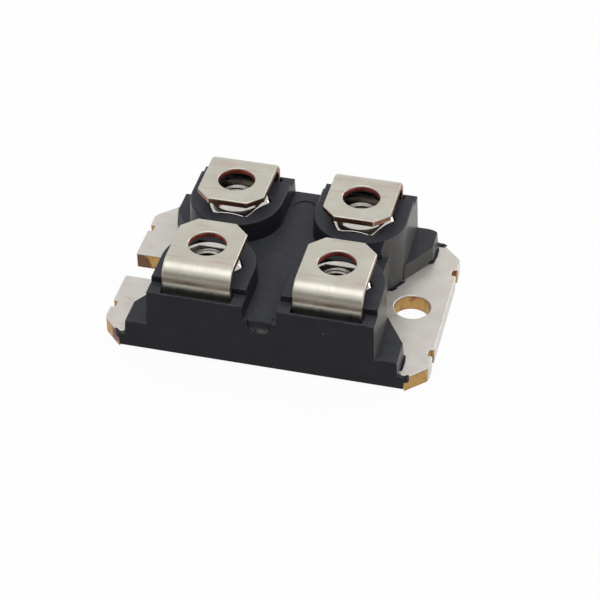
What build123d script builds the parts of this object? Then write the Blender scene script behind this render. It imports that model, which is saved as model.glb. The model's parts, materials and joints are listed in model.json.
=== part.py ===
from build123d import *
import os
from math import cos, radians, sin, tan

# Bridge rectifier in an isolated, screw-mounted power package.
# Millimetres. The origin is the centre of the base plate's underside, +Z up,
# +X towards the end with the round mounting hole.

# Base plate: punched copper, open slot at one end and a hole at the other
plate_length = 38.1
plate_width = 24.8
plate_thickness = 2.05
corner_chamfer = 2.4
flange_length = 2.4
waist_depth = 0.4
mounting_inset = 3.95
mounting_hole_diameter = 4.2
mounting_slot_width = 4.3
edge_nick_pitch = 14.9
edge_nick_width = 1.1
edge_nick_depth = 0.6

# Moulded body: insets from the plate's ends and sides, and heights above the plate
body_end_inset = 3.3
skirt_proud = 0.2
body_draft = 1.0
skirt_clearance = 0.45
toe_width = 0.65
toe_height = 0.12
wing_height = 2.05
wing_recess_angle = 15.0
wing_end_width = 3.6
wing_draft = 5.0
valley_height = 4.85
end_wall_reach = 4.2
tower_height = 7.45
tower_foot_radius = 5.85
tower_draft = 2.5
tower_edge_radius = 0.25
ledge_depth = 0.8
ledge_width = 2.2

# Marks that the mould leaves in the valley
gate_scoop_width = 2.8
gate_scoop_height = 1.7
gate_scoop_depth = 1.0
ejector_mark_diameter = 2.7
ejector_mark_depth = 0.12
ejector_mark_inset = 3.1

# Terminals: plated copper straps bent over the nuts
terminal_pitch = 15.0
terminal_inset = 6.25
terminal_width = 8.0
terminal_thickness = 0.8
terminal_gap = 1.75
terminal_nose_gap = 4.0
terminal_corner = 1.7
terminal_hole_diameter = 4.3
terminal_bend_radius = 2.0
terminal_foot_radius = 1.3
terminal_foot_length = 3.8
leg_nut_gap = 0.85
leg_pocket_depth = 0.8
leg_pocket_front = 0.65
leg_pocket_side = 0.1

# Hexagon nuts held in pockets under the terminals
nut_across_flats = 7.0
nut_height = 3.2
nut_proud = 0.2
nut_bore_diameter = 3.3
nut_countersink_diameter = 4.3
nut_face_diameter = 6.6
nut_chamfer_angle = 30.0
nut_pocket_play = 0.08
screw_relief_diameter = 4.6
screw_relief_depth = 1.6

# Insulated substrate, chips and jumpers inside the moulding
substrate_leg_gap = 0.5
substrate_end_cover = 0.9
ceramic_thickness = 0.63
foil_thickness = 0.3
foil_margin = 0.5
pad_gap = 1.0
chip_size = 4.0
chip_thickness = 0.3
chip_edge = 0.4
chip_spacing = 0.7
jumper_width = 3.0
jumper_thickness = 0.3
jumper_contact = 2.0
jumper_arch = 0.6
jumper_landing = 1.6
jumper_bend_radius = 0.4

# Levels
skirt_bottom = skirt_clearance
plate_top = plate_thickness
wing_top = plate_top + wing_height
valley_floor = plate_top + valley_height
tower_top = plate_top + tower_height
ledge_top = tower_top - ledge_depth
terminal_underside = tower_top + terminal_gap
nut_top = tower_top + nut_proud
nut_seat = nut_top - nut_height
foil_top = plate_top + foil_thickness
ceramic_top = foil_top + ceramic_thickness
pad_top = ceramic_top + foil_thickness
chip_top = pad_top + chip_thickness

# Places in plan
body_half_length = plate_length / 2 - body_end_inset
body_half_width = plate_width / 2 + skirt_proud
waist_half_length = plate_length / 2 - flange_length
waist_half_width = plate_width / 2 - waist_depth
tower_x = terminal_pitch / 2
tower_y = body_half_width - terminal_inset
end_wall_x = tower_x + end_wall_reach
leg_inner_y = tower_y + nut_across_flats / 2 + leg_nut_gap
leg_outer_y = leg_inner_y + terminal_thickness
foot_end_y = leg_outer_y - terminal_foot_length
substrate_half_width = leg_inner_y - substrate_leg_gap
substrate_half_length = end_wall_x - substrate_end_cover
mounting_x = plate_length / 2 - mounting_inset

# How far helper shapes run out past the body, and past the faces that cuts open
outside = 4 * body_half_width
overcut = 1.0

QUARTERS = {"plus": (-1, -1), "ac_1": (1, -1), "ac_2": (-1, 1), "minus": (1, 1)}


def block(x_range, y_range, z_range):
    """Box between two values along each axis."""
    corner = (min(x_range), min(y_range), min(z_range))
    size = [max(span) - min(span) for span in (x_range, y_range, z_range)]
    return Pos(*corner) * Box(*size, align=Align.MIN)


def prism(outline, bottom, top, draft=0):
    """Outline pulled up from bottom to top, its walls leaning in by the draft."""
    return extrude(Pos(0, 0, bottom) * outline, amount=top - bottom, dir=(0, 0, 1), taper=draft)


def strap(points, radius, x_dir, width, thickness):
    """Flat strip swept along straight runs and bends of its middle line."""
    middle_line = FilletPolyline(*points, radius=radius)
    section = Plane(middle_line @ 0, x_dir=x_dir, z_dir=middle_line % 0) * Rectangle(width, thickness)
    return sweep(section, path=middle_line)


def make_base_plate():
    """Chamfered plate with a narrower waist, a hole, an open slot and four edge nicks."""
    outline = chamfer(Rectangle(plate_length, plate_width).vertices(), corner_chamfer)
    for side in (-1, 1):
        waist_cut = Rectangle(2 * waist_half_length, waist_depth)
        outline -= Pos(0, side * (waist_half_width + waist_depth / 2)) * waist_cut
    outline -= Pos(mounting_x, 0) * Circle(mounting_hole_diameter / 2)
    slot_run = plate_length - mounting_x
    outline -= Pos(-mounting_x, 0) * Circle(mounting_slot_width / 2)
    outline -= Pos(-mounting_x - slot_run / 2, 0) * Rectangle(slot_run, mounting_slot_width)
    for end in (-1, 1):
        for side in (-1, 1):
            place = Pos(end * plate_length / 2, side * edge_nick_pitch / 2)
            outline -= place * Rectangle(2 * edge_nick_depth, edge_nick_width)
    return prism(outline, 0, plate_thickness)


def make_tower(x_sign, y_sign):
    """Tower with a round inner end, a ledge outside and a rounded top edge."""
    outline = Circle(tower_foot_radius)
    outline += Pos(0, y_sign * outside / 2) * Rectangle(2 * tower_foot_radius, outside)
    tower = prism(Pos(x_sign * tower_x, y_sign * tower_y) * outline, plate_top, tower_top, tower_draft)
    tower = fillet(tower.faces().sort_by(Axis.Z)[-1].edges(), tower_edge_radius)
    ledge_inner = y_sign * (body_half_width - ledge_width)
    ledge_cut = block(
        (-outside, outside),
        (ledge_inner, y_sign * 2 * outside),
        (ledge_top, tower_top + overcut),
    )
    return tower - ledge_cut


def make_wing(x_sign, y_sign):
    """Low corner of the body, cut away slantwise to leave room for a screw head."""
    tip_x = body_half_length
    tip_y = body_half_width - wing_end_width
    root_x = tower_x + tower_foot_radius * cos(radians(wing_recess_angle))
    root_y = tower_y - tower_foot_radius * sin(radians(wing_recess_angle))
    points = [
        (tower_x, outside),
        (tip_x, outside),
        (tip_x, tip_y),
        (root_x, root_y),
        (tower_x, tower_y),
    ]
    outline = make_face(Polyline(*[(x_sign * x, y_sign * y) for x, y in points], close=True))
    foot = offset(outline, wing_height * tan(radians(wing_draft)), kind=Kind.INTERSECTION)
    return prism(foot, plate_top, wing_top, wing_draft)


def make_toe(x_sign, y_sign):
    """Thin foot of the moulding that runs out along the plate's long edge."""
    return block(
        (x_sign * tower_x, x_sign * waist_half_length),
        (y_sign * (body_half_width - toe_width), y_sign * outside),
        (plate_top, plate_top + toe_height),
    )


def make_gate_scoop():
    """Half-round scoop where the runner broke off the edge of the valley."""
    radius = gate_scoop_width / 2
    front_y = -body_half_width
    centre_z = valley_floor - gate_scoop_height + radius
    profile = Pos(0, centre_z) * Circle(radius)
    profile += Pos(0, centre_z + outside / 2) * Rectangle(gate_scoop_width, outside)
    start = Plane.XZ.offset(-(front_y + gate_scoop_depth))
    return extrude(start * profile, amount=gate_scoop_depth + overcut)


def make_nut_pocket(x_sign, y_sign):
    """Hexagonal pocket for a nut, with blind clearance for the screw's end below it."""
    flat_radius = nut_across_flats / 2 + nut_pocket_play
    hexagon = RegularPolygon(flat_radius, 6, major_radius=False)
    centre = Pos(x_sign * tower_x, y_sign * tower_y)
    pocket = prism(centre * hexagon, nut_seat, tower_top + overcut)
    relief = prism(centre * Circle(screw_relief_diameter / 2), nut_seat - screw_relief_depth, nut_seat)
    return pocket + relief


def make_leg_pocket(x_sign, y_sign):
    """Sunk mouth in the ledge where a terminal leg comes out."""
    half_width = terminal_width / 2 + leg_pocket_side
    x_middle = x_sign * tower_x
    return block(
        (x_middle - half_width, x_middle + half_width),
        (y_sign * (leg_inner_y - leg_pocket_side), y_sign * (leg_outer_y + leg_pocket_front)),
        (ledge_top - leg_pocket_depth, tower_top + overcut),
    )


def make_body(inner_pieces):
    """Moulded body: skirt, wings and towers in one piece round everything it holds."""
    core_foot = 2 * (end_wall_x + valley_height * tan(radians(body_draft)))
    body = prism(Rectangle(core_foot, outside), plate_top, valley_floor, body_draft)
    for side in (-1, 1):
        body += block(
            (-waist_half_length, waist_half_length),
            (side * waist_half_width, side * outside),
            (skirt_bottom, plate_top),
        )
    for x_sign, y_sign in QUARTERS.values():
        body += make_tower(x_sign, y_sign)
        body += make_wing(x_sign, y_sign)
        body += make_toe(x_sign, y_sign)
    sides = Rectangle(2 * outside, 2 * body_half_width)
    body &= prism(sides, skirt_bottom, tower_top + overcut, body_draft)
    for x_sign, y_sign in QUARTERS.values():
        body -= make_nut_pocket(x_sign, y_sign)
        body -= make_leg_pocket(x_sign, y_sign)
    body -= make_gate_scoop()
    mark_y = body_half_width - ejector_mark_inset
    mark = Pos(0, mark_y) * Circle(ejector_mark_diameter / 2)
    body -= prism(mark, valley_floor - ejector_mark_depth, valley_floor + overcut)
    for piece in inner_pieces:
        body -= piece
    return body


def make_terminal(x_sign, y_sign):
    """Strap that comes up out of the body, bends over the nut and ends in a cut-off nose."""
    half = terminal_thickness / 2
    x = x_sign * tower_x
    leg_y = leg_outer_y - half
    nose_y = terminal_nose_gap / 2
    top_z = terminal_underside + half
    foot_z = pad_top + half
    points = [(nose_y, top_z), (leg_y, top_z), (leg_y, foot_z), (foot_end_y, foot_z)]
    route = [(x, y_sign * y, z) for y, z in points]
    bends = [terminal_bend_radius - half, terminal_foot_radius - half]
    terminal = strap(route, bends, (1, 0, 0), terminal_width, terminal_thickness)
    nose_edges = terminal.edges().filter_by(Axis.Z).group_by(Axis.Z)[-1]
    nose_edges = nose_edges.sort_by(Axis.Y)[:2] if y_sign > 0 else nose_edges.sort_by(Axis.Y)[-2:]
    terminal = chamfer(nose_edges, terminal_corner)
    hole = Pos(x, y_sign * tower_y) * Circle(terminal_hole_diameter / 2)
    return terminal - prism(hole, terminal_underside - half, terminal_underside + 3 * half)


def make_nut(x_sign, y_sign):
    """Hexagon nut with a flat seat, its upper face chamfered, countersunk at both ends."""
    blank_radius = nut_across_flats
    rim_width = blank_radius - nut_face_diameter / 2
    rim_z = nut_height - rim_width * tan(radians(nut_chamfer_angle))
    bore_radius = nut_bore_diameter / 2
    sink_radius = nut_countersink_diameter / 2
    sink_depth = sink_radius - bore_radius
    section = make_face(
        Polyline(
            (bore_radius, sink_depth),
            (sink_radius, 0),
            (blank_radius, 0),
            (blank_radius, rim_z),
            (nut_face_diameter / 2, nut_height),
            (sink_radius, nut_height),
            (bore_radius, nut_height - sink_depth),
            close=True,
        )
    )
    turned = revolve(Plane.XZ * section, axis=Axis.Z)
    hexagon = prism(RegularPolygon(nut_across_flats / 2, 6, major_radius=False), 0, nut_height)
    return Pos(x_sign * tower_x, y_sign * tower_y, nut_seat) * (turned & hexagon)


def make_pad(x_sign, y_sign):
    """One of the four copper pads on the substrate's upper face."""
    length = substrate_half_length - foil_margin - pad_gap / 2
    width = substrate_half_width - foil_margin - pad_gap / 2
    outline = Rectangle(length, width)
    centre = Pos(x_sign * (pad_gap + length) / 2, y_sign * (pad_gap + width) / 2)
    return prism(centre * outline, ceramic_top, pad_top)


def make_chip(x, y):
    """Square rectifier chip seated on a pad."""
    return prism(Pos(x, y) * Rectangle(chip_size, chip_size), pad_top, chip_top)


def make_jumper(along, across):
    """Copper jumper from a chip's top, over the gap, to the next pad.

    Along is the axis that it bridges, and across its place on the other axis.
    """
    half = jumper_thickness / 2
    chip_middle = -(pad_gap / 2 + chip_edge + chip_size / 2)
    chip_z = chip_top + half
    arch_z = chip_z + jumper_arch
    landing_z = pad_top + half
    landing_start = pad_gap / 2 + chip_edge
    rise_start = chip_middle + jumper_contact / 2
    points = [
        (chip_middle - jumper_contact / 2, chip_z),
        (rise_start, chip_z),
        (rise_start + jumper_arch, arch_z),
        (landing_start - (arch_z - landing_z), arch_z),
        (landing_start, landing_z),
        (landing_start + jumper_landing, landing_z),
    ]
    if along == "x":
        return strap([(s, across, z) for s, z in points], jumper_bend_radius, (0, 1, 0),
                     jumper_width, jumper_thickness)
    return strap([(across, s, z) for s, z in points], jumper_bend_radius, (1, 0, 0),
                 jumper_width, jumper_thickness)


def make_circuit():
    """Substrate, pads, chips and jumpers of the four-diode bridge."""
    ceramic = Rectangle(2 * substrate_half_length, 2 * substrate_half_width)
    lower_foil = offset(ceramic, -foil_margin)
    pieces = {
        "substrate_lower_foil": prism(lower_foil, plate_top, foil_top),
        "substrate_ceramic": prism(ceramic, foil_top, ceramic_top),
    }
    for name, (x_sign, y_sign) in QUARTERS.items():
        pieces["pad_" + name] = make_pad(x_sign, y_sign)

    # Two chips carry current out of the AC pads to plus, two bring it in from minus
    gap_side = pad_gap / 2 + chip_edge + chip_size / 2
    row_y = (pad_gap / 2 + foot_end_y) / 2
    column_x = gap_side + chip_size + chip_spacing
    pieces["chip_1"] = make_chip(-gap_side, -row_y)
    pieces["jumper_1"] = make_jumper("x", -row_y)
    pieces["chip_2"] = make_chip(-column_x, -gap_side)
    pieces["jumper_2"] = make_jumper("y", -column_x)
    pieces["chip_3"] = make_chip(column_x, -gap_side)
    pieces["jumper_3"] = make_jumper("y", column_x)
    pieces["chip_4"] = make_chip(-gap_side, row_y)
    pieces["jumper_4"] = make_jumper("x", row_y)
    return pieces


def make_parts():
    """Every piece by its node name."""
    parts = {"base_plate": make_base_plate()}
    inner = make_circuit()
    for name, (x_sign, y_sign) in QUARTERS.items():
        inner["terminal_" + name] = make_terminal(x_sign, y_sign)
        parts["nut_" + name] = make_nut(x_sign, y_sign)
    parts["moulded_body"] = make_body(inner.values())
    return parts | inner


os.makedirs("parts", exist_ok=True)
for node, shape in make_parts().items():
    export_step(shape, f"parts/{node}.step")
    print(f"{node}: {len(shape.solids())} solid, {shape.volume:.1f} mm3")
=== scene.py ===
# %% [markdown]
# # Dressing a bridge rectifier module
#
# The object is a power semiconductor that turns alternating into direct current. A nickel plated copper
# plate carries a dark epoxy moulding, and four plated copper straps come out of it, bent over captive nuts.
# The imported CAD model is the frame: it fixes every size and place. The cells below give each visible piece
# its rounded edges, its small moulding and punching marks and its finish. All sizes are in metres, so MM
# turns a size in millimetres into Blender's units. Points closer than a HAIR count as one.

# %% Load the frame
import json
import math

import bmesh
import bpy
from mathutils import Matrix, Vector

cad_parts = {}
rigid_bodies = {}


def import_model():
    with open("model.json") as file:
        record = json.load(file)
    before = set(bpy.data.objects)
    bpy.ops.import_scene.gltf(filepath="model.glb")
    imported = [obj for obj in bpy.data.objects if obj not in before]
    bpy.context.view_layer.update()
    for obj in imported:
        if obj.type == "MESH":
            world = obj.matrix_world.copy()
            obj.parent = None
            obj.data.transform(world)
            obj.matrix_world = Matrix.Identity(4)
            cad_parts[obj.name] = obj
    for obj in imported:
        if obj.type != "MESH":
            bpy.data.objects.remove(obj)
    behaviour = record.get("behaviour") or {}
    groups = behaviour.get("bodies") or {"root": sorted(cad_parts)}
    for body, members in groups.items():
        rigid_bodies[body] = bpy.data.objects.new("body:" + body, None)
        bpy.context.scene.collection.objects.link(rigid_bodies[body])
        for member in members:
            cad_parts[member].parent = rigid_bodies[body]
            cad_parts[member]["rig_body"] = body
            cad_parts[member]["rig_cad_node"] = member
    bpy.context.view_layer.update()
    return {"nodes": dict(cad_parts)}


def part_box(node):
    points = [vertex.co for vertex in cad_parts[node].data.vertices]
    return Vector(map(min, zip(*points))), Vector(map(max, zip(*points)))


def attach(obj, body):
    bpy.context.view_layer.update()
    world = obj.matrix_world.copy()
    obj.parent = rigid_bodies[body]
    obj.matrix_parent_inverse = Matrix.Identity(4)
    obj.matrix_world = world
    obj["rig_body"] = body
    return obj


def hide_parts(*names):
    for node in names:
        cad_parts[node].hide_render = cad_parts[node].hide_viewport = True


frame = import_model()
MM = 0.001
HAIR = 0.001 * MM
QUARTERS = {"plus": (-1, -1), "ac_1": (1, -1), "ac_2": (-1, 1), "minus": (1, 1)}

# %% [markdown]
# ## Working by hand, in code
#
# By hand, a modeller clicks the faces to work on and then calls an operator. In a script the clicks become
# rules, such as "edges that lie on the top face". An operator acts on all that is selected, so the first
# helpers begin by deselecting everything, and the others build on them.


# %% Selecting and editing
def pick(piece):
    """Makes one object the only selected one, and active."""
    bpy.ops.object.select_all(action="DESELECT")
    piece.select_set(True)
    bpy.context.view_layer.objects.active = piece


def new_plane(width, height, place=(0, 0, 0), stands=False):
    """Adds a lying or standing plane, with its size and place in the mesh itself."""
    tilt = math.pi / 2 if stands else 0
    bpy.ops.object.select_all(action="DESELECT")
    bpy.ops.mesh.primitive_plane_add(size=1, location=place, rotation=(tilt, 0, 0))
    plane = bpy.context.active_object
    plane.scale = (width, height, 1)
    bpy.ops.object.transform_apply()
    return plane


def open_mesh(piece):
    """Opens a piece in edit mode."""
    pick(piece)
    bpy.ops.object.mode_set(mode="EDIT")


def close_mesh():
    """Goes back to object mode."""
    bpy.ops.object.mode_set(mode="OBJECT")


def choose(piece, kind, rule):
    """Selects the verts, edges or faces of an open mesh that a rule picks, and returns how many."""
    bpy.ops.mesh.select_mode(type=kind)
    bpy.ops.mesh.select_all(action="DESELECT")
    mesh = bmesh.from_edit_mesh(piece.data)
    parts = {"VERT": mesh.verts, "EDGE": mesh.edges, "FACE": mesh.faces}[kind]
    parts.ensure_lookup_table()
    chosen = [part for part in parts if rule(part)]
    for part in chosen:
        part.select_set(True)
    bmesh.update_edit_mesh(piece.data)
    return len(chosen)


def middle(part):
    """Middle of an edge or face."""
    total = sum((vert.co for vert in part.verts), Vector())
    return total / len(part.verts)


def turn_at(edge):
    """Angle between an edge's two faces, in degrees."""
    return math.degrees(edge.calc_face_angle(0.0))


def rise(edge):
    """Height from an edge's lower end to its upper one."""
    return abs(edge.verts[0].co.z - edge.verts[1].co.z)


def join_flats():
    """Joins the level triangles of an open mesh into whole faces."""
    bpy.ops.mesh.select_all(action="SELECT")
    bpy.ops.mesh.dissolve_limited(angle_limit=math.radians(0.3))


def face_outwards():
    """Turns all faces of an open mesh outwards."""
    bpy.ops.mesh.select_all(action="SELECT")
    bpy.ops.mesh.normals_make_consistent(inside=False)


def round_edges(piece, rule, radius, segments, **settings):
    """Bevels the edges of an open mesh that a rule picks, and returns how many."""
    edges = choose(piece, "EDGE", rule)
    bpy.ops.mesh.bevel(offset=radius, segments=segments, affect="EDGES", **settings)
    return edges


def paint(piece, slot, rule):
    """Gives a material slot to the faces of an open mesh that a rule picks, and returns how many."""
    faces = choose(piece, "FACE", rule)
    piece.active_material_index = slot
    bpy.ops.object.material_slot_assign()
    return faces


# %% Modifiers and finished pieces
def apply_modifier(piece, kind, **settings):
    """Adds a modifier, sets it and applies it."""
    pick(piece)
    modifier = piece.modifiers.new(kind.lower(), kind)
    for name, value in settings.items():
        setattr(modifier, name, value)
    bpy.ops.object.modifier_apply(modifier=modifier.name)


def cut(piece, tool, operation="DIFFERENCE"):
    """Cuts a piece with a tool, or keeps what they share; the cut's walls take the tool's finish."""
    apply_modifier(
        piece, "BOOLEAN", object=tool, operation=operation, solver="EXACT", material_mode="TRANSFER"
    )
    bpy.data.objects.remove(tool)


def smooth(piece, angle, flat=None):
    """Shades a piece smooth up to an angle in degrees, and flat where a rule says so.

    The weighted normals keep large faces level beside their small roundings.
    """
    pick(piece)
    bpy.ops.object.shade_smooth_by_angle(angle=math.radians(angle))
    if flat:
        open_mesh(piece)
        choose(piece, "FACE", flat)
        bpy.ops.mesh.faces_shade_flat()
        close_mesh()
    apply_modifier(piece, "WEIGHTED_NORMAL", weight=100, keep_sharp=True)


def count_faces(piece):
    """Faces of a piece, with its open edges, which ought to be none."""
    mesh = bmesh.new()
    mesh.from_mesh(piece.data)
    open_edges = sum(len(edge.link_faces) != 2 for edge in mesh.edges)
    faces = len(mesh.faces)
    volume = mesh.calc_volume(signed=True) / MM**3
    mesh.free()
    return f"{piece.name}: {faces} faces, {open_edges} open edges, {volume:.1f} mm3"


def seat(piece, slot, *nodes):
    """Ties a finished piece to the frame's root body and hides the nodes that it stands for; slot is not
    used.
    """
    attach(piece, "root")
    if nodes:
        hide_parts(*nodes)
    print(count_faces(piece))


# %% [markdown]
# ## Building finishes from nodes
#
# Every finish here is one Principled shader fed by a few pattern nodes. The patterns read Object
# coordinates, which are in metres, so a Mapping node first turns them into millimetres: a noise of scale 4
# then has four grains in a millimetre. Colours are written as they look on a screen, from 0 to 255, and
# colour() turns them into the linear values that a shader adds up.


# %% Shader helpers
def colour(red, green, blue):
    """Linear colour from screen values."""
    screen = [value / 255 for value in (red, green, blue)]
    return [s / 12.92 if s <= 0.04045 else ((s + 0.055) / 1.055) ** 2.4 for s in screen] + [1.0]


def new_finish(name, **sockets):
    """Material with one Principled shader, whose even values are set on its own sockets."""
    finish = bpy.data.materials.new(name)
    finish.use_nodes = True
    for socket, value in sockets.items():
        shader_of(finish).inputs[socket.replace("_", " ")].default_value = value
    return finish


def shader_of(finish):
    """The material's Principled shader."""
    return finish.node_tree.nodes["Principled BSDF"]


def node(finish, kind, inputs, output=0, **settings):
    """Adds a node, sets its choices, feeds its inputs with values or links, and returns an output."""
    new = finish.node_tree.nodes.new(kind)
    for name, value in settings.items():
        setattr(new, name, value)
    for socket, value in inputs.items():
        feed(finish, new, socket, value)
    return new.outputs[output]


def feed(finish, new, socket, value):
    """Links an output to a node's input, or sets the input to a plain value."""
    if isinstance(value, bpy.types.NodeSocket):
        finish.node_tree.links.new(value, new.inputs[socket])
    else:
        new.inputs[socket].default_value = value


def millimetres(finish, stretch=(1, 1, 1)):
    """Object coordinates in millimetres; a small stretch draws a pattern out along that axis."""
    place = node(finish, "ShaderNodeTexCoord", {}, "Object")
    return node(finish, "ShaderNodeMapping", {"Vector": place, "Scale": [s / MM for s in stretch]})


def noise(finish, place, scale, detail=3.0):
    """Soft noise from 0 to 1."""
    return node(finish, "ShaderNodeTexNoise", {"Vector": place, "Scale": scale, "Detail": detail})


def span(finish, value, start, end, low=0.0, high=1.0):
    """Takes a value's range from start to end over to low to high, held at both ends."""
    inputs = {"Value": value, "From Min": start, "From Max": end, "To Min": low, "To Max": high}
    return node(finish, "ShaderNodeMapRange", inputs)


def maths(finish, operation, first, second):
    """Sum, product or the like of two values."""
    return node(finish, "ShaderNodeMath", {0: first, 1: second}, operation=operation)


def blend(finish, share, below, above):
    """Colour that goes from below to above as the share goes from 0 to 1."""
    return node(finish, "ShaderNodeMix", {0: share, 6: below, 7: above}, 2, data_type="RGBA")


def complete(finish, base, roughness, height, depth):
    """Feeds the shader its colour, its roughness and small bumps, as deep as on the real surface."""
    bump = node(finish, "ShaderNodeBump", {"Height": height, "Distance": depth, "Strength": 1.0})
    for socket, value in (("Base Color", base), ("Roughness", roughness), ("Normal", bump)):
        feed(finish, shader_of(finish), socket, value)
    return finish


# %% [markdown]
# ## Epoxy moulding compound
#
# The body is transfer-moulded epoxy, filled with silica: blue-black, dull on its faces and a little
# brighter where light grazes them. A flat dark grey would look like a hole in the picture, so three
# patterns break it up: cloudy patches of filler, a fine grain that the spark-eroded mould leaves, and a few
# pale specks of dust. Two attributes, written on the mesh when the body is made, say where a face differs:
# "edge" is rubbed by handling, and the other marks the faces that look up, which get a paler grey film that
# is partly dust and partly painted light from above. The flat walls at both ends and all walls of the right
# end came off a polished part of the mould, so they mirror the plate beside them; their base colour is also
# painted paler, as light from the side would make it. They get a second finish from the same function, with
# its own even shine.


# %% Moulding finish
def attribute(finish, name):
    """Value of a mesh attribute."""
    return node(finish, "ShaderNodeAttribute", {}, "Fac", attribute_name=name)


def make_moulding_finish(name, dark, pale, shine):
    """Epoxy in two shades, with a dusty film on upward faces that is partly painted top light, rubbed edges
    and specks; shine is its even specular level.
    """
    finish = new_finish(name, Specular_IOR_Level=shine)
    place = millimetres(finish)
    clouds = noise(finish, place, 0.35, 4.0)
    grain = noise(finish, place, 7.0, 4.0)
    patchy = noise(finish, place, 1.1, 3.0)
    base = blend(finish, span(finish, clouds, 0.35, 0.65), dark, pale)
    # Faces that look up are painted paler: partly a dusty film, partly painted light from above.
    dust_and_top_light_share = maths(finish, "MULTIPLY", attribute(finish, "dust_and_top_light"), span(finish, patchy, 0.3, 0.7, 0.7, 1.0))
    base = blend(finish, dust_and_top_light_share, base, colour(65, 66, 71))
    rubbed = maths(finish, "MULTIPLY", attribute(finish, "edge"), span(finish, patchy, 0.45, 0.7, 0.0, 0.5))
    base = blend(finish, rubbed, base, colour(92, 92, 96))
    cells = {"Vector": place, "Scale": 0.42, "Randomness": 1.0}
    near = node(finish, "ShaderNodeTexVoronoi", cells, "Distance")
    specks = span(finish, near, 0.02, 0.05, 0.55, 0.0)
    base = blend(finish, specks, base, colour(150, 150, 146))
    return complete(finish, base, span(finish, grain, 0.3, 0.7, 0.28, 0.38), grain, 0.006 * MM)


moulding_finish = make_moulding_finish("moulding_compound", colour(35, 36, 40), colour(40, 40, 45), shine=0.1)
# End walls: more shine, and a base colour painted paler, as light from the side would make it.
polished_side_lit_finish = make_moulding_finish(
    "polished_side_lit_moulding", colour(83, 82, 79), colour(89, 87, 85), shine=0.18
)
print("finishes:", moulding_finish.name, polished_side_lit_finish.name)

# %% [markdown]
# ## Nickel plating
#
# Plate and straps are copper with a thin dull nickel plating. Nickel is a warm grey metal, so the base
# colour is a little yellow. Rolling leaves fine lines along the sheet, which a stretched noise draws, and
# the plating is thin enough for a pink breath of copper to show through in streaks and spots. The bent
# straps are drawn smooth and mirror like metal. The plate's skin is duller: half of its light is scattered,
# so that the dark body shows in it only as a soft grey.


# %% Plated sheet finish
def axis_of(finish, place, name):
    """One coordinate of a place."""
    return node(finish, "ShaderNodeSeparateXYZ", {0: place}, name)


def from_middle(finish, place):
    """Distance from the part's long middle line."""
    return node(finish, "ShaderNodeMath", {0: axis_of(finish, place, "Y")}, operation="ABSOLUTE")


def make_plating_finish(name, metal, pale, dull, along, streak_scale, satin, line_depth, bend_marks_and_shade=False):
    """Satin nickel: fine lines along the sheet, soft clouds and a few copper-coloured stains."""
    finish = new_finish(name, Metallic=metal)
    place = millimetres(finish)
    lines = noise(finish, millimetres(finish, along), 6.0, 3.0)
    clouds = noise(finish, place, 0.45, 4.0)
    fine = noise(finish, place, 9.0, 2.0)
    base = blend(finish, span(finish, clouds, 0.3, 0.7), pale, dull)
    streaks = noise(finish, millimetres(finish, streak_scale), 1.0, 5.0)
    base = blend(finish, span(finish, streaks, 0.6, 0.78, 0.0, 0.45), base, colour(176, 128, 104))
    spots = span(finish, noise(finish, place, 2.6, 3.0), 0.68, 0.78, 0.0, 0.35)
    base = blend(finish, spots, base, colour(140, 124, 96))
    if bend_marks_and_shade:
        base = mark_bend_and_paint_shade(finish, place, base)
    roughness = span(finish, lines, 0.3, 0.7, *satin)
    return complete(finish, base, roughness, maths(finish, "ADD", lines, fine), line_depth)


def mark_bend_and_paint_shade(finish, place, base):
    """Pink lines of the bending tool where the bend begins, and a brown band low on the bend that is partly
    tarnish and partly a painted dark reflection.
    """
    band_top = (11.1, 10.2)
    band_foot = (9.6, 9.9)
    lines_near = (8.3, 9.2)
    lines_far = (9.9, 9.5)
    height = axis_of(finish, place, "Z")
    # The brown band is partly tarnish and partly a painted dark reflection of the ground in front.
    band = maths(finish, "MULTIPLY", span(finish, height, *band_top), span(finish, height, *band_foot))
    uneven = span(finish, noise(finish, millimetres(finish, (0.15, 1, 1)), 2.0), 0.3, 0.7, 0.75, 1.0)
    base = blend(finish, maths(finish, "MULTIPLY", band, uneven), base, colour(90, 77, 67))
    out = from_middle(finish, place)
    bend_start = maths(finish, "MULTIPLY", span(finish, out, *lines_near), span(finish, out, *lines_far))
    scratch = span(finish, noise(finish, millimetres(finish, (0.25, 3.0, 1)), 1.0, 4.0), 0.5, 0.68, 0.0, 0.5)
    return blend(finish, maths(finish, "MULTIPLY", bend_start, scratch), base, colour(190, 138, 118))


plate_finish = make_plating_finish(
    "nickel_plate",
    metal=0.5,
    pale=colour(216, 211, 204),
    dull=colour(205, 200, 192),
    along=(0.05, 1, 1),
    streak_scale=(0.5, 0.9, 0.5),
    satin=(0.28, 0.4),
    line_depth=0.002 * MM,
)
strap_finish = make_plating_finish(
    "nickel_strap",
    metal=1.0,
    pale=colour(197, 194, 183),
    dull=colour(187, 182, 169),
    along=(1, 0.05, 0.05),
    streak_scale=(0.22, 1.1, 0.9),
    satin=(0.27, 0.4),
    line_depth=0.004 * MM,
    bend_marks_and_shade=True,
)
print("finishes:", plate_finish.name, strap_finish.name)

# %% [markdown]
# ## Cut copper edges
#
# Punching shears through plating and copper alike, so the cut faces show bare metal that has tarnished: a
# golden skin on the thick plate, with red-brown patches and dark pits, a darker red on the thin straps and a
# crimson bloom in their holes. The same function makes all three, with other colours. The shear lines run
# across the thickness, so their noise is drawn out along Z. On the plate the skin thins to red along both
# rims, and a brown stain with a ragged edge covers the outer half of the open slot.


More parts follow.
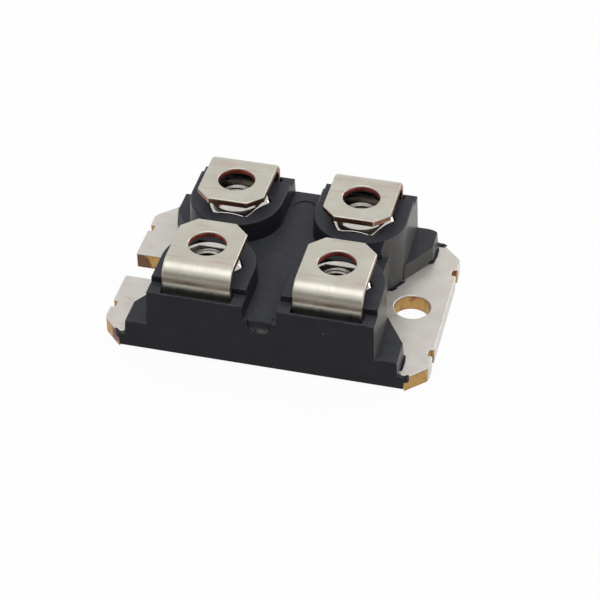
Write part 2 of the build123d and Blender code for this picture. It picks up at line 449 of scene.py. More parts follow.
# %% Cut edge finish
def make_cut_finish(name, bright, tarnished, patches, plate_marks=False):
    """Sheared copper with tarnish patches, dark pits and lines across the thickness."""
    finish = new_finish(name, Metallic=1.0)
    place = millimetres(finish)
    shear = noise(finish, millimetres(finish, (1, 1, 0.12)), 5.0, 3.0)
    patch = span(finish, noise(finish, place, 0.5, 4.0), *patches)
    base = blend(finish, patch, bright, tarnished)
    if plate_marks:
        base = redden_rims(finish, place, base)
        base = stain_slot(finish, place, base)
    pits = span(finish, noise(finish, place, 3.4, 2.0), 0.7, 0.75)
    base = blend(finish, pits, base, colour(58, 40, 32))
    return complete(finish, base, span(finish, shear, 0.3, 0.7, 0.34, 0.55), shear, 0.015 * MM)


def redden_rims(finish, place, base):
    """Red line under the plate's upper rim and above its lower one, where the golden skin is thin."""
    upper_rim = (1.72, 1.86)
    lower_rim = (0.22, 0.08)
    height = axis_of(finish, place, "Z")
    rims = maths(finish, "MAXIMUM", span(finish, height, *upper_rim), span(finish, height, *lower_rim))
    share = maths(finish, "MULTIPLY", rims, span(finish, noise(finish, place, 0.8), 0.35, 0.6, 0.3, 0.9))
    return blend(finish, share, base, colour(168, 84, 52))


def stain_slot(finish, place, base):
    """Brown stain with a ragged edge on the walls of the open slot, near the plate's end."""
    stain_edge = (-17.2, -17.6)
    slot_walls = (3.2, 2.8)
    ragged = span(finish, noise(finish, place, 0.9), 0.3, 0.7, -0.6, 0.6)
    along = maths(finish, "ADD", axis_of(finish, place, "X"), ragged)
    near_end = span(finish, along, *stain_edge)
    in_slot = span(finish, from_middle(finish, place), *slot_walls, 0.0, 0.85)
    return blend(finish, maths(finish, "MULTIPLY", near_end, in_slot), base, colour(92, 64, 60))


plate_cut_finish = make_cut_finish(
    "cut_plate_edge", colour(184, 148, 90), colour(122, 86, 72), (0.52, 0.64), plate_marks=True
)
strap_cut_finish = make_cut_finish("cut_strap_edge", colour(158, 112, 92), colour(112, 66, 58), (0.4, 0.65))
hole_cut_finish = make_cut_finish("cut_hole_edge", colour(222, 124, 104), colour(174, 78, 80), (0.35, 0.65))
print("finishes:", plate_cut_finish.name, strap_cut_finish.name, hole_cut_finish.name)

# %% [markdown]
# ## Bright steel nuts
#
# The nuts are steel with a bright plating, the shiniest thing on the part. Low roughness lets them mirror
# the softbox, the copper above them and the dark pocket. Soft clouds and a very fine grain keep the mirror
# from looking like chrome. The thread in the bore is given a duller and darker finish.


# %% Nut finish
def make_nut_finish(name, pale, dull, satin):
    """Bright steel in two shades, with a roughness between the two values of satin."""
    finish = new_finish(name, Metallic=1.0)
    place = millimetres(finish)
    clouds = noise(finish, place, 0.8, 3.0)
    fine = noise(finish, place, 12.0, 2.0)
    base = blend(finish, span(finish, clouds, 0.35, 0.65), pale, dull)
    return complete(finish, base, span(finish, fine, 0.3, 0.7, *satin), fine, 0.0015 * MM)


nut_finish = make_nut_finish("bright_steel", colour(205, 202, 197), colour(190, 187, 181), (0.05, 0.1))
thread_finish = make_nut_finish("dull_thread", colour(150, 146, 140), colour(124, 120, 114), (0.2, 0.32))
print("finishes:", nut_finish.name, thread_finish.name)

# %% [markdown]
# ## Base plate
#
# The plate is punched from thick copper strip. A punch pulls the upper rim down into a soft roll before the
# metal shears, so the top edge is rounded and the bottom edge stays almost sharp. The CAD node has the
# outline, so it is copied, and its loose triangles are merged. Its two flat faces are deleted, which leaves
# a band of walls whose upright corners the bevel operator can round cleanly, and then both are filled again.
# The rims are rolled by insets: the whole face is lowered by the roll's radius and then inset in steps that
# rise back along a quarter circle. The two ends were cut before the plating, so they keep its grey, and all
# other walls show the golden cut.


# %% Copy a CAD node
def copy_node(name, piece_name):
    """Copies a CAD node as a new piece and merges its loose triangles."""
    pick(frame["nodes"][name])
    bpy.ops.object.duplicate()
    piece = bpy.context.active_object
    piece.name = piece_name
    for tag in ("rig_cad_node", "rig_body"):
        del piece[tag]
    bpy.ops.object.parent_clear(type="CLEAR_KEEP_TRANSFORM")
    open_mesh(piece)
    bpy.ops.mesh.select_all(action="SELECT")
    bpy.ops.mesh.remove_doubles(threshold=HAIR)
    close_mesh()
    return piece


def wear(piece, *finishes):
    """Gives a piece these material slots in order."""
    piece.data.materials.clear()
    for finish in finishes:
        piece.data.materials.append(finish)


# %% Base plate
plate_low, plate_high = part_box("base_plate")
nick_round = 0.22 * MM
corner_round = 0.45 * MM
corner_start = 9.0 * MM
upper_roll = 0.16 * MM
lower_round = 0.04 * MM
flange_start = 17.0 * MM
end_margin = 0.2 * MM


def upright(face):
    """True for a wall."""
    return abs(face.normal.z) < 0.5


def roll_rim(piece, side, radius, steps):
    """Rounds the rim of the upper (1) or lower (-1) face by a row of insets along a quarter circle."""
    faces = choose(piece, "FACE", lambda face: side * face.normal.z > 0.9)
    bpy.ops.transform.translate(value=(0, 0, -side * radius))
    for step in range(steps):
        start = math.pi / 2 * step / steps
        end = math.pi / 2 * (step + 1) / steps
        inward = radius * (math.cos(start) - math.cos(end))
        bpy.ops.mesh.inset(thickness=inward, depth=radius * (math.sin(end) - math.sin(start)))
    print("rim rolled round", faces, "faces, radius in mm:", round(radius / MM, 2))


def make_base_plate():
    plate = copy_node("base_plate", "base_plate_punched")
    wear(plate, plate_finish, plate_cut_finish)
    open_mesh(plate)
    choose(plate, "FACE", lambda face: not upright(face))
    bpy.ops.mesh.delete(type="FACE")
    join_flats()

    def upright_corner(edge):
        return rise(edge) > thickness / 2 and abs(middle(edge).x) > flange_start and turn_at(edge) > 20

    def flange_corner(edge):
        return upright_corner(edge) and abs(middle(edge).y) > corner_start

    def nick_corner(edge):
        return upright_corner(edge) and abs(middle(edge).y) < corner_start

    thickness = plate_high.z - plate_low.z
    corners = round_edges(plate, nick_corner, nick_round, 4)
    corners += round_edges(plate, flange_corner, corner_round, 6)
    for level in (plate_low.z, plate_high.z):
        choose(plate, "EDGE", lambda edge: edge.is_boundary and abs(middle(edge).z - level) < HAIR)
        bpy.ops.mesh.fill()
    face_outwards()

    def punched(face):
        at_end = abs(face.normal.x) > 0.9 and plate_high.x - abs(middle(face).x) < end_margin
        return upright(face) and not at_end

    paint(plate, 0, lambda face: not punched(face))
    paint(plate, 1, punched)
    roll_rim(plate, 1, upper_roll, 4)
    roll_rim(plate, -1, lower_round, 2)
    close_mesh()
    print("plate corners rounded:", corners)
    smooth(plate, angle=32)
    return plate


base_plate = make_base_plate()
seat(base_plate, "plated_plate", "base_plate")

# %% [markdown]
# ## Moulded body
#
# The body is one epoxy moulding. Its towers, ledges and pockets are the CAD solid's, down to the cavities
# for what it holds, so that node is copied too. A mould is milled, and its inner corners are never quite
# sharp, so every outer edge that can be seen gets a small rounding; edges inside the cavities, along the
# joint with the plate and on steps too low for it stay as they are. First the four toes, where the resin
# crept out along the plate, are drawn to a point, and the upright corner of the wing at the back right,
# where the mould is worn, is rounded more. Then the rounded edges and the upper faces get their attributes
# and the end walls their own finish. Level faces are shaded flat, since some are long and thin, and smooth
# shading would tilt the light on them.

# %% Moulded body sizes
body_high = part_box("moulded_body")[1]
ceramic_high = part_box("substrate_ceramic")[1]
strap_low, strap_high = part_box("terminal_plus")
moulding_round = 0.08 * MM
leg_depth = 7.95 * MM
leg_half_width = 4.02 * MM
leg_inner = 10.68 * MM
leg_outer = 11.52 * MM
cavity_height = 4.87 * MM
cavity_margin = 0.2 * MM
toe_point = 0.6 * MM
toe_middle = 12.2 * MM
worn_corner = 0.6 * MM
worn_stretch = 2.6
least_wing_height = 1.0 * MM
wing_start = 15.0 * MM
wing_end = 15.95 * MM
end_wall_start = 11.0 * MM


def inside_moulding(point):
    """True for a point on a cavity's wall, which nothing outside can see."""
    under_valley = point.z < cavity_height and abs(point.x) < ceramic_high.x + cavity_margin
    under_valley = under_valley and abs(point.y) < leg_outer
    from_leg = abs(abs(point.x) + (strap_low.x + strap_high.x) / 2)
    in_leg_slot = point.z < leg_depth and from_leg < leg_half_width and leg_inner < abs(point.y) < leg_outer
    return under_valley or in_leg_slot


# %% Toes and worn corner
def draw_toes(body):
    """Draws the inner corner of each toe's end back, so that it runs out to a point on the plate."""

    def at_end(point):
        return abs(abs(point.x) - body_high.x) < HAIR

    choose(body, "FACE", lambda face: at_end(middle(face)) and abs(face.normal.x) > 0.9)
    bpy.ops.mesh.bisect(plane_co=(0, 0, plate_high.z), plane_no=(0, 0, 1))
    ends = choose(body, "VERT", lambda vert: at_end(vert.co) and abs(vert.co.y) < toe_middle)
    shorter = (body_high.x - toe_point) / body_high.x
    bpy.ops.transform.resize(value=(shorter, 1, 1), center_override=(0, 0, 0))
    print("toe corners drawn back:", ends)


def wear_corner(body):
    """Rounds the upright outer corner of the wing at the back right, further along its back than its end."""

    def outer_corner(edge):
        at = middle(edge)
        outside = at.x > wing_start and at.y > leg_outer and at.z > plate_high.z
        return outside and rise(edge) > least_wing_height and turn_at(edge) > 60

    corners = choose(body, "EDGE", outer_corner)
    mesh = bmesh.from_edit_mesh(body.data)
    ends = [vert.co.copy() for edge in mesh.edges if edge.select for vert in edge.verts]
    bpy.ops.mesh.bevel(offset=worn_corner, segments=8, affect="EDGES")
    for end in ends:

        def on_arc(vert):
            beside = wing_start - worn_corner < vert.co.x < wing_end and vert.co.y > leg_outer
            return beside and abs(vert.co.z - end.z) < HAIR

        arc = choose(body, "VERT", on_arc)
        bpy.ops.transform.resize(value=(worn_stretch, 1, 1), center_override=end)
        print("worn corner at mm:", [round(x / MM, 2) for x in end], "points:", arc)
    print("worn corners:", corners)


def mark(piece, name):
    """Writes 1 to an attribute on the selected faces of an open mesh."""
    piece.data.attributes.active = piece.data.attributes[name]
    bpy.ops.mesh.attribute_set(value_float=1.0)


# %% Moulded body
def make_moulded_body():
    body = copy_node("moulded_body", "moulded_body_epoxy")
    wear(body, moulding_finish, polished_side_lit_finish)
    for name in ("edge", "dust_and_top_light"):
        body.data.attributes.new(name, "FLOAT", "FACE")
    open_mesh(body)
    join_flats()
    draw_toes(body)
    wear_corner(body)

    def low_step(face):
        """True for the wall of a step that is too low to be rounded, such as the toe's."""
        levels = [vert.co.z for vert in face.verts]
        return upright(face) and max(levels) - min(levels) < 2.5 * moulding_round

    def seen_edge(edge):
        ends = [vert.co for vert in edge.verts]
        on_plate = all(abs(end.z - plate_high.z) < HAIR for end in ends)
        hidden = all(inside_moulding(end) for end in ends)
        too_small = any(low_step(face) for face in edge.link_faces)
        return edge.is_convex and turn_at(edge) > 28 and not on_plate and not hidden and not too_small

    rounded = round_edges(body, seen_edge, moulding_round, 3, clamp_overlap=False)
    mark(body, "edge")
    # Faces that look up get the paler film: partly dusty, partly painted light from above.
    choose(body, "FACE", lambda face: face.normal.z > 0.7)
    mark(body, "dust_and_top_light")

    def end_wall(face):
        flat_end = abs(face.normal.x) > 0.9 and abs(middle(face).x) > end_wall_start
        right_end = face.normal.x > 0.35 and middle(face).x > end_wall_start
        return (flat_end or right_end) and upright(face)

    # The end walls take the finish whose paler base colour is painted side light.
    end_walls = paint(body, 1, end_wall)
    close_mesh()
    print("body edges rounded:", rounded, "polished faces:", end_walls)
    smooth(body, angle=35, flat=lambda face: face.normal.z > 0.9999)
    return body


moulded_body = make_moulded_body()
seat(moulded_body, "moulding", "moulded_body")

# %% [markdown]
# ## Strap terminals
#
# A terminal is a flat copper strap: it comes up out of the moulding, bends over the nut and ends in a nose
# with cut-off corners. It is made as it would be bent. A rectangle the size of the strap's section is
# extruded back along the flat, spun round the bend, extruded down the leg, spun again and extruded to the
# end of the foot. Then the nose's corners are bevelled and the screw hole is cut. The punch comes from the
# outer side and rolls the rims there, so these are rounded more than the inner ones. One strap is modelled
# on the plane of symmetry and copied to the four towers; the back row is turned half a turn.

# %% Strap sizes
strap_width = strap_high.x - strap_low.x
strap_thickness = 0.8 * MM
top_bend = 2.0 * MM
foot_bend = 1.3 * MM
foot_reach = 3.8 * MM
nose_corner = 1.7 * MM
nose_margin = 0.1 * MM
hole_radius = 2.15 * MM
strap_roll = 0.2 * MM
strap_round = 0.06 * MM
strap_sharp = 35
bend_steps = 20
nut_low, nut_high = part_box("nut_plus")
tower_x = (nut_low.x + nut_high.x) / 2
tower_y = (nut_low.y + nut_high.y) / 2
print("strap width in mm:", round(strap_width / MM, 2))
print("tower at mm:", round(tower_x / MM, 2), round(tower_y / MM, 2))


# %% Bend one strap
def make_strap():
    """One strap on the plane x = 0, with its nose towards the middle of the part."""
    section_middle = (0, strap_high.y, strap_high.z - strap_thickness / 2)
    strap = new_plane(strap_width, strap_thickness, section_middle, stands=True)
    bend_y = strap_low.y + top_bend
    bend_z = strap_high.z - top_bend
    foot_y = strap_low.y + foot_bend
    foot_z = strap_low.z + foot_bend
    foot_end = strap_low.y + foot_reach
    open_mesh(strap)
    bpy.ops.mesh.select_all(action="SELECT")
    draw_out((0, bend_y - strap_high.y, 0))
    bpy.ops.mesh.spin(steps=bend_steps, angle=-math.pi / 2, center=(0, bend_y, bend_z), axis=(1, 0, 0))
    draw_out((0, 0, foot_z - bend_z))
    bpy.ops.mesh.spin(steps=bend_steps, angle=-math.pi / 2, center=(0, foot_y, foot_z), axis=(1, 0, 0))
    draw_out((0, foot_end - foot_y, 0))

    def nose_edge(edge):
        return rise(edge) > strap_thickness / 2 and abs(middle(edge).y - strap_high.y) < HAIR

    round_edges(strap, nose_edge, nose_corner, 1)
    face_outwards()
    close_mesh()
    return strap


def draw_out(step):
    """Extrudes the selected end face by a step."""
    bpy.ops.mesh.extrude_region_move(TRANSFORM_OT_translate={"value": step})


strap_blank = make_strap()
print(count_faces(strap_blank), "box in mm:", [round(x / MM, 2) for x in strap_blank.dimensions])


# %% Cut and finish the strap
def finish_strap(strap):
    """Gives the strap its two finishes, its hole and its rounded edges."""
    wear(strap, strap_finish, strap_cut_finish)
    open_mesh(strap)
    nose_start = strap_high.y - nose_corner - nose_margin

    def cut_face(face):
        at_nose = middle(face).y > nose_start and upright(face)
        return abs(face.normal.x) > 0.6 or at_nose

    paint(strap, 1, cut_face)
    close_mesh()

    drill_middle = (0, tower_y, strap_high.z - strap_thickness / 2)
    bpy.ops.object.select_all(action="DESELECT")
    bpy.ops.mesh.primitive_cylinder_add(
        vertices=72, radius=hole_radius, depth=3 * strap_thickness, location=drill_middle
    )
    drill = bpy.context.active_object
    wear(drill, hole_cut_finish)
    cut(strap, drill)

    def outer_face(face):
        return face.material_index == 0 and (face.normal.z > 0.3 or face.normal.y < -0.3)

    def sharp(edge):
        return turn_at(edge) > strap_sharp

    def rolled_edge(edge):
        return sharp(edge) and any(outer_face(face) for face in edge.link_faces)

    open_mesh(strap)
    rolled = round_edges(strap, rolled_edge, strap_roll, 3, material=0)
    others = round_edges(strap, sharp, strap_round, 2, material=0)
    close_mesh()
    print("strap edges rolled:", rolled, "rounded:", others)
    smooth(strap, angle=30)
    return strap


strap_blank = finish_strap(strap_blank)
print(count_faces(strap_blank))


# %% Copy to the four towers
def copy_to(piece, name, place, turn):
    """Copies a piece with its own mesh, turns it about Z by some degrees and moves it to its place."""
    pick(piece)
    bpy.ops.object.duplicate()
    copy = bpy.context.active_object
    copy.name = name
    copy.rotation_euler.z = math.radians(turn)
    copy.location = place
    bpy.ops.object.transform_apply()
    return copy


for quarter, (x_sign, y_sign) in QUARTERS.items():
    half_turn = 180 if y_sign > 0 else 0
    strap = copy_to(strap_blank, "strap_" + quarter, (x_sign * abs(tower_x), 0, 0), half_turn)
    seat(strap, "plated_terminal", "terminal_" + quarter)
bpy.data.objects.remove(strap_blank)

# %% [markdown]
# ## Captive nuts
#
# A nut is a slice of hexagon bar. A turned blank with a cone on top cuts the corners of the upper face,
# which gives the curved edges that every nut has. The cone runs on past that face, because a tool that ends
# level with a face leaves a ragged cut. A drill with a countersink at each end makes the bore, and
# a tap cuts the thread: the section of one groove, drawn up along a helix by the Screw modifier, is a closed
# tool for one more cut. Drill and tap wear the thread's dull finish, and each cut passes it on to the walls
# that it leaves. Like the strap, the nut is made once, at the origin, and copied. Each copy is turned on by
# one flat, so that the threads start at different sides.

# %% Nut sizes
nut_height = nut_high.z - nut_low.z
nut_corner = (nut_high.x - nut_low.x) / 2
nut_face_radius = 3.25 * MM
nut_cone_angle = math.radians(30)
nut_corner_round = 0.08 * MM
nut_rim_round = 0.07 * MM
nut_sharp = math.radians(22)
nut_bore = 1.76 * MM
nut_sink = 2.04 * MM
thread_pitch = 0.7 * MM
thread_radius = 2.0 * MM
thread_inner = 1.62 * MM
groove_mouth = 0.62 * MM
groove_floor = 0.1 * MM
thread_steps = 40
blank_radius = 4.6 * MM
overcut = 0.4 * MM


# %% Hexagon and cone
def make_hexagon():
    """Slice of hexagon bar with its corners broken."""
    bpy.ops.object.select_all(action="DESELECT")
    bpy.ops.mesh.primitive_cylinder_add(vertices=6, radius=nut_corner, depth=nut_height)
    nut = bpy.context.active_object
    nut.rotation_euler.z = math.radians(30)
    nut.location.z = nut_height / 2
    bpy.ops.object.transform_apply()
    open_mesh(nut)
    round_edges(nut, lambda edge: rise(edge) > nut_height / 2, nut_corner_round, 3)
    close_mesh()
    return nut


def grow(step, factor):
    """Extrudes the selected end face along Z and widens or narrows it."""
    bpy.ops.mesh.extrude_region_move(TRANSFORM_OT_translate={"value": (0, 0, step)})
    bpy.ops.transform.resize(value=(factor, factor, 1))


def make_turned(radius, low, high, upper_steps, lower_steps=()):
    """Turned tool: a cylinder whose end faces are drawn out by (step, factor) pairs."""
    bpy.ops.object.select_all(action="DESELECT")
    bpy.ops.mesh.primitive_cylinder_add(
        vertices=96, radius=radius, depth=high - low, location=(0, 0, (low + high) / 2)
    )
    tool = bpy.context.active_object
    bpy.ops.object.transform_apply()
    open_mesh(tool)
    for sign, steps in ((1, upper_steps), (-1, lower_steps)):
        end = high if sign > 0 else low
        for step, factor in steps:
            choose(tool, "FACE", lambda face: abs(middle(face).z - end) < HAIR and sign * face.normal.z > 0.9)
            grow(sign * step, factor)
            end += sign * step
    close_mesh()
    return tool


nut_blank = make_hexagon()
cone_height = (blank_radius - nut_face_radius) * math.tan(nut_cone_angle)
cone_tip = nut_face_radius - overcut / math.tan(nut_cone_angle)
cone_steps = [(cone_height + overcut, cone_tip / blank_radius)]
cone = make_turned(blank_radius, -overcut, nut_height - cone_height, cone_steps)
wear(nut_blank, nut_finish)
wear(cone, nut_finish)
cut(nut_blank, cone, "INTERSECT")
apply_modifier(
    nut_blank, "BEVEL", width=nut_rim_round, segments=2, limit_method="ANGLE", angle_limit=nut_sharp
)
print(count_faces(nut_blank))

# %% Bore and thread
sink_depth = nut_sink - nut_bore
sink_steps = [(sink_depth, nut_sink / nut_bore), (overcut, 1)]
bore_drill = make_turned(nut_bore, sink_depth, nut_height - sink_depth, sink_steps, sink_steps)
wear(bore_drill, thread_finish)
cut(nut_blank, bore_drill)


def make_tap():
    """One thread groove's section, drawn up along a helix past both faces of the nut."""
    start = -2 * thread_pitch
    turns = math.ceil((nut_height - 2 * start) / thread_pitch)
    groove_middle = ((thread_inner + thread_radius) / 2, 0, start)
    tap = new_plane(thread_radius - thread_inner, groove_mouth, groove_middle, stands=True)
    open_mesh(tap)
    choose(tap, "VERT", lambda vert: vert.co.x > groove_middle[0])
    bpy.ops.transform.resize(value=(1, 1, groove_floor / groove_mouth), center_override=groove_middle)
    bpy.ops.mesh.select_all(action="SELECT")
    bpy.ops.mesh.delete(type="ONLY_FACE")
    close_mesh()
    apply_modifier(
        tap,
        "SCREW",
        angle=2 * math.pi,
        screw_offset=thread_pitch,
        iterations=turns,
        steps=thread_steps,
        render_steps=thread_steps,
    )
    open_mesh(tap)
    bpy.ops.mesh.select_all(action="SELECT")
    bpy.ops.mesh.remove_doubles(threshold=HAIR / 2)
    bpy.ops.mesh.fill_holes(sides=4)
    face_outwards()
    close_mesh()
    return tap


tap = make_tap()
print(count_faces(tap))
wear(tap, thread_finish)
cut(nut_blank, tap)
smooth(nut_blank, angle=25)
print(count_faces(nut_blank))

# %% Copy the nuts to their pockets
for index, (quarter, (x_sign, y_sign)) in enumerate(QUARTERS.items()):
    place = (x_sign * abs(tower_x), y_sign * abs(tower_y), nut_low.z)
    nut = copy_to(nut_blank, "threaded_nut_" + quarter, place, 60 * index)
    seat(nut, "nut_steel", "nut_" + quarter)
bpy.data.objects.remove(nut_blank)

# %% [markdown]
# ## Resin flash on the plate
#
# In the mould, resin creeps a little way out under pressure and sets as thin ragged flakes on the plate,
# along the feet of the walls and over the plate's tips. A flake is modelled as it looks from above: a plane
# of its length and width, cut up, shaken at random with a fixed seed and narrowed towards its ends, then
# flattened again and extruded to its thickness, with the upper face a little smaller than the lower one. It
# is shaped at the origin, along X, and then turned and moved to its place. The flakes sit slightly in the
# metal so that no gap shows under them.

# %% Resin flash
flash_low = plate_high.z - 0.02 * MM
flash_high = plate_high.z + 0.09 * MM
tip_low = plate_high.z - 0.75 * MM
flash_cuts = 5
flash_shake = 0.14
flash_taper = {0.25: 0.8, 0.42: 0.4}
flash_upper_share = 0.93
FLASH = {
    "tower_minus": ((11.75, 2.2), (13.4, 4.55), 0.46, flash_low, flash_high),
    "lip_minus": ((12.0, 2.2), (12.75, 2.95), 0.26, flash_low, flash_low + 0.05 * MM),
    "wing_front_minus": ((15.42, 8.28), (16.08, 9.05), 0.34, flash_low, flash_high + 0.2 * MM),
    "wing_end_minus": ((15.92, 8.6), (16.04, 11.7), 0.44, flash_low, flash_high),
    "wing_end_ac_1": ((15.95, -8.6), (16.04, -11.4), 0.5, flash_low, flash_high),
    "tip_minus": ((16.4, 12.4), (16.98, 12.27), 0.26, flash_low, flash_high),
    "tip_ac_1": ((16.56, -12.4), (17.08, -11.96), 0.34, tip_low, flash_high),
    "tip_plus": ((-16.54, -12.4), (-17.3, -11.76), 0.3, tip_low, flash_high),
}


def make_flash(name, start, end, width, low, high, seed):
    """Ragged flake along a line from start to end, given in millimetres."""
    start = Vector((*start, 0)) * MM
    end = Vector((*end, 0)) * MM
    run = end - start
    flake = new_plane(run.length, width * MM)
    flake.name = "flash_" + name
    open_mesh(flake)
    bpy.ops.mesh.select_all(action="SELECT")
    bpy.ops.mesh.subdivide(number_cuts=flash_cuts)
    bpy.ops.transform.vertex_random(offset=flash_shake * width * MM, seed=seed)
    for share, narrower in flash_taper.items():
        choose(flake, "VERT", lambda vert: abs(vert.co.x) > share * run.length)
        bpy.ops.transform.resize(value=(1, narrower, 1), center_override=(0, 0, 0))
    bpy.ops.mesh.select_all(action="SELECT")
    bpy.ops.transform.resize(value=(1, 1, 0), center_override=(0, 0, 0))
    draw_out((0, 0, high - low))
    upper_size = (flash_upper_share, flash_upper_share, 1)
    bpy.ops.transform.resize(value=upper_size, center_override=(0, 0, high - low))
    face_outwards()
    close_mesh()
    place = (start + end) / 2
    flake.location = (place.x, place.y, low)
    flake.rotation_euler.z = math.atan2(run.y, run.x)
    bpy.ops.object.transform_apply()
    wear(flake, moulding_finish)
    smooth(flake, angle=40)
    return flake


for seed, (name, (start, end, width, low, high)) in enumerate(FLASH.items()):
    seat(make_flash(name, start, end, width, low, high, seed), "moulding")

# %% [markdown]
# ## Broken gate
#
# The resin enters the mould at the front, in the scoop between the towers, and when the part is broken off
# its runner a rough stub of grey filler stays behind. It starts as a slice of round bar, a little wider than
# the scoop, so that no gap is left beside it. Two bisects cut it level with the valley and at a slope to the
# front. A Remesh modifier gives it an even grid, and a Displace modifier with a cloud texture crumbles that.
# The broken filler is paler than the moulded skin along its lower rim, dark in the middle, a paler grey
# on top and nearly without shine.

# %% Broken gate
gate_middle = Vector((0, -12.0, 6.6)) * MM
gate_radius = 1.52 * MM
gate_length = 1.1 * MM
gate_rim = Vector((0, -12.25, 6.94)) * MM
gate_slope = Vector((0, -0.996, 0.09))
gate_grid = 0.06 * MM
gate_roughness = 0.22 * MM
gate_grain = 0.3 * MM


def make_break_finish():
    """Broken epoxy: grey grains of filler in dark resin, palest along the lower rim and paler grey towards
    the top.
    """
    rim_heights = (6.0, 5.5)
    top_grey_heights = (6.68, 6.82)
    finish = new_finish("broken_epoxy", Specular_IOR_Level=0.2)
    place = millimetres(finish)
    grains = noise(finish, place, 4.0, 4.0)
    height = axis_of(finish, place, "Z")
    low_rim = span(finish, height, *rim_heights, 0.1, 1.0)
    pale = maths(finish, "MULTIPLY", span(finish, grains, 0.35, 0.6), low_rim)
    base = blend(finish, pale, colour(26, 27, 30), colour(104, 104, 98))
    base = blend(finish, span(finish, height, *top_grey_heights), base, colour(62, 63, 68))
    return complete(finish, base, span(finish, grains, 0.3, 0.7, 0.6, 0.85), grains, 0.03 * MM)


def make_gate_break():
    bpy.ops.object.select_all(action="DESELECT")
    bpy.ops.mesh.primitive_cylinder_add(
        vertices=48, radius=gate_radius, depth=gate_length, location=gate_middle, rotation=(math.pi / 2, 0, 0)
    )
    stub = bpy.context.active_object
    stub.name = "gate_break"
    bpy.ops.object.transform_apply()
    open_mesh(stub)
    for outward in (Vector((0, 0, 1)), gate_slope):
        bpy.ops.mesh.select_all(action="SELECT")
        bpy.ops.mesh.bisect(plane_co=gate_rim, plane_no=outward, use_fill=True, clear_outer=True)
    close_mesh()
    apply_modifier(stub, "REMESH", mode="VOXEL", voxel_size=gate_grid)
    crumble = bpy.data.textures.new("crumble", "CLOUDS")
    crumble.noise_scale = gate_grain
    crumble.noise_depth = 3
    apply_modifier(
        stub, "DISPLACE", texture=crumble, texture_coords="LOCAL", strength=gate_roughness, mid_level=0.5
    )
    wear(stub, make_break_finish())
    smooth(stub, angle=60)
    return stub


gate_break = make_gate_break()
seat(gate_break, "moulding")

# %% [markdown]
# ## Inside the moulding
#
# The substrate, the chips and their jumpers can't be seen, but they are part of the model, so they keep their
# CAD shape and get finishes of their own: rolled copper, fired ceramic and diced silicon. One function makes
# all three, since each is a grain pattern that shifts colour and roughness a little.


# %% Inner finishes
def make_inner_finish(name, pale, dark, scale, satin, **sockets):
    """Grainy finish for a hidden part."""
    finish = new_finish(name, **sockets)
    grain = noise(finish, millimetres(finish), scale, 4.0)
    base = blend(finish, span(finish, grain, 0.35, 0.65), pale, dark)
    return complete(finish, base, span(finish, grain, 0.3, 0.7, *satin), grain, 0.003 * MM)


copper = make_inner_finish(
    "rolled_copper", colour(206, 140, 108), colour(184, 112, 84), 1.5, (0.3, 0.5), Metallic=1.0
)
ceramic = make_inner_finish("fired_ceramic", colour(236, 234, 228), colour(222, 219, 210), 6.0, (0.5, 0.7))
silicon = make_inner_finish(
    "diced_silicon", colour(74, 78, 88), colour(58, 60, 70), 3.0, (0.2, 0.35), Metallic=0.5
)
INNER = {
    "substrate_lower": copper,
    "substrate_ceramic": ceramic,
    "pad": copper,
    "jumper": copper,
    "chip": silicon,
}
dressed = 0
for name, part in frame["nodes"].items():
    for start, finish in INNER.items():
        if name.startswith(start):
            part.material_slots[0].material = finish
            dressed += 1
print("inner parts dressed:", dressed)

# %% [markdown]
# ## Floor, light and camera
#
# The part lies on white paper. A broad softbox overhead gives the bends their bright band, a small one low
# at the back right draws a pale line along the straps' rolled right edges, and the white room all round fills
# the plating. A grey card in front, which the camera doesn't see, darkens the lower half of the bends. The
# floor is diffuse white, but for what the camera and the metal see of it, a glow of strength 1 is mixed in,
# so that it reads as plain white and still shows a faint shadow.


# %% Floor
floor_side = 6.0
floor_gap = 0.01 * MM
paper_white = 0.86
glow_share = 0.95


def sees_background(finish):
    """1 for rays that look at the background: from the camera, a mirror or glass."""
    kinds = ["Is Camera Ray", "Is Glossy Ray", "Is Transmission Ray"]
    rays = [node(finish, "ShaderNodeLightPath", {}, kind) for kind in kinds]
    return maths(finish, "MAXIMUM", maths(finish, "MAXIMUM", rays[0], rays[1]), rays[2])


def make_floor():
    """Sheet of white paper, just under the plate."""
    floor = new_plane(floor_side, floor_side, (0, 0, plate_low.z - floor_gap))
    floor.name = "paper_floor"
    paper = bpy.data.materials.new("white_paper")
    paper.use_nodes = True
    paper.node_tree.nodes.clear()
    matt = node(paper, "ShaderNodeBsdfDiffuse", {"Color": (paper_white, paper_white, paper_white, 1)})
    glow = node(paper, "ShaderNodeEmission", {"Color": (1, 1, 1, 1), "Strength": 1.0})
    share = maths(paper, "MULTIPLY", sees_background(paper), glow_share)
    mixed = node(paper, "ShaderNodeMixShader", {0: share, 1: matt, 2: glow})
    node_out = paper.node_tree.nodes.new("ShaderNodeOutputMaterial")
    paper.node_tree.links.new(mixed, node_out.inputs["Surface"])
    wear(floor, paper)
    return floor


floor = make_floor()
print("floor side in m:", round(floor.dimensions.x, 2))


# %% White room
room_light = 0.7


def make_room():
    """World that lights the part evenly and looks plain white."""
    room = bpy.data.worlds.new("white_room")
    room.use_nodes = True
    bpy.context.scene.world = room
    background = room.node_tree.nodes["Background"]
    background.inputs["Color"].default_value = (1, 1, 1, 1)
    strength = span(room, sees_background(room), 0.0, 1.0, room_light, 1.0)
    room.node_tree.links.new(strength, background.inputs["Strength"])
    return room


room = make_room()
print("world:", room.name)


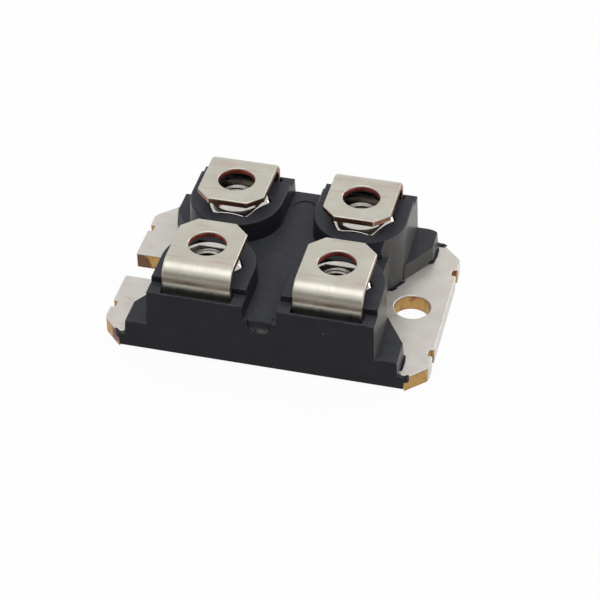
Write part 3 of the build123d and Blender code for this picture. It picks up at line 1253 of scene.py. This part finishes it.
# %% Softboxes
def make_softbox(name, place, width, height, radiance):
    """Area lamp of a given brightness, turned towards the part at the origin."""
    bpy.ops.object.light_add(type="AREA", location=place)
    lamp = bpy.context.active_object
    lamp.name = name
    lamp.data.shape = "RECTANGLE"
    lamp.data.size = width
    lamp.data.size_y = height
    lamp.data.energy = radiance * math.pi * width * height
    lamp.data.color = (0.94, 0.97, 1.0)
    lamp.rotation_euler = (-Vector(place)).to_track_quat("-Z", "Y").to_euler()
    return lamp


overhead = make_softbox("overhead_softbox", (0.0, -0.19, 0.52), width=0.6, height=0.36, radiance=1.15)
edge_light = make_softbox("edge_softbox", (0.33, 0.45, 0.2), width=0.2, height=0.14, radiance=4.0)
print("softbox power in W:", round(overhead.data.energy, 2), round(edge_light.data.energy, 2))


# %% Grey card
flag_distance = 0.5
flag_width = 1.3
flag_height = 0.26


def make_flag():
    """Grey card in front, behind the camera, which gives the bends their dark lower band."""
    flag = new_plane(flag_width, flag_height, (0, -flag_distance, flag_height / 2), stands=True)
    flag.name = "grey_flag"
    card = new_finish("grey_card", Base_Color=(0.45, 0.45, 0.45, 1), Roughness=0.9)
    wear(flag, card)
    flag.visible_camera = False
    return flag


flag = make_flag()
print("flag:", flag.name)

# %% [markdown]
# ## Camera
#
# The photograph was taken with a long lens from the front, a little to the right and well above. Azimuth,
# elevation, distance and lens were found by fitting the plate's corners and the terminal holes.

# %% Camera
azimuth = math.radians(13.634)
elevation = math.radians(39.37)
distance = 237.376 * MM
target = Vector((1.688, 0.0, 0.487)) * MM
back = Vector(
    (
        math.sin(azimuth) * math.cos(elevation),
        -math.cos(azimuth) * math.cos(elevation),
        math.sin(elevation),
    )
)
bpy.ops.object.camera_add(location=target + back * distance)
camera = bpy.context.active_object
camera.rotation_euler = (-back).to_track_quat("-Z", "Y").to_euler()
camera.data.lens = 120.798
camera.data.sensor_width = 36.0
camera.data.clip_start = 0.01
scene = bpy.context.scene
scene.camera = camera
scene.view_settings.view_transform = "Standard"
print("camera at mm:", [round(x / MM, 1) for x in camera.location])
